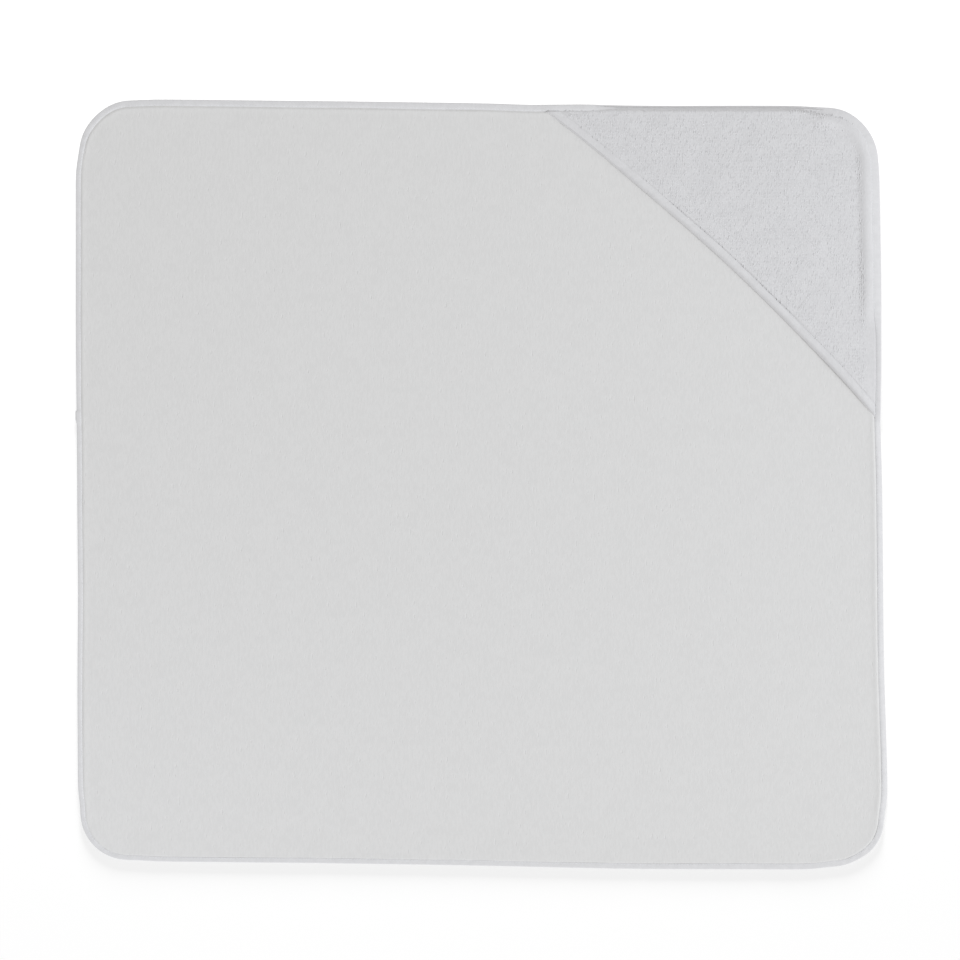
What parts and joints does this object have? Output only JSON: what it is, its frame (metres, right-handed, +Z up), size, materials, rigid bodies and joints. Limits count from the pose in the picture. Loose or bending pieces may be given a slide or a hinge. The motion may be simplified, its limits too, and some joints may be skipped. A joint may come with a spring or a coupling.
{
  "type": "hooded baby towel",
  "caption": "Hooded baby towel laid flat: rounded towelling panel, edge bound in folded cotton tape, with a bound triangular hood sewn over one corner, which folds over.",
  "frame": {"origin": "middle of the towel's underside, on the surface it lies on (bottom centre of the bounding box)", "axes": "+Z up, +X along the long side, +Y along the short side; the hooded corner points to +X +Y"},
  "size_m": [0.8, 0.76, 0.0131],
  "materials": {
    "sheared_terry": "sheared cotton towelling, soft and matt",
    "loop_terry": "looped cotton terry, matt",
    "cotton_tape": "plain woven cotton bias tape",
    "cotton_thread": "twisted sewing thread"
  },
  "bodies": {
    "towel": {"towel_panel": "sheared_terry", "edge_binding": "cotton_tape", "edge_needle_thread": "cotton_thread", "edge_bobbin_thread": "cotton_thread"},
    "hood_corner": {"towel_panel_hood_corner": "sheared_terry", "edge_binding_hood_corner": "cotton_tape", "edge_needle_thread_hood_corner": "cotton_thread", "edge_bobbin_thread_hood_corner": "cotton_thread", "hood": "loop_terry", "hood_mouth_binding": "cotton_tape", "mouth_needle_thread": "cotton_thread", "mouth_bobbin_thread": "cotton_thread"}
  },
  "joints": [
    {"name": "hood_fold", "type": "hinge", "parent": "towel", "child": "hood_corner", "pos_m": [0.22047, 0.21174, 0.009], "axis": [0.7325, -0.6808, 0], "range_deg": [0, 178]}
  ]
}
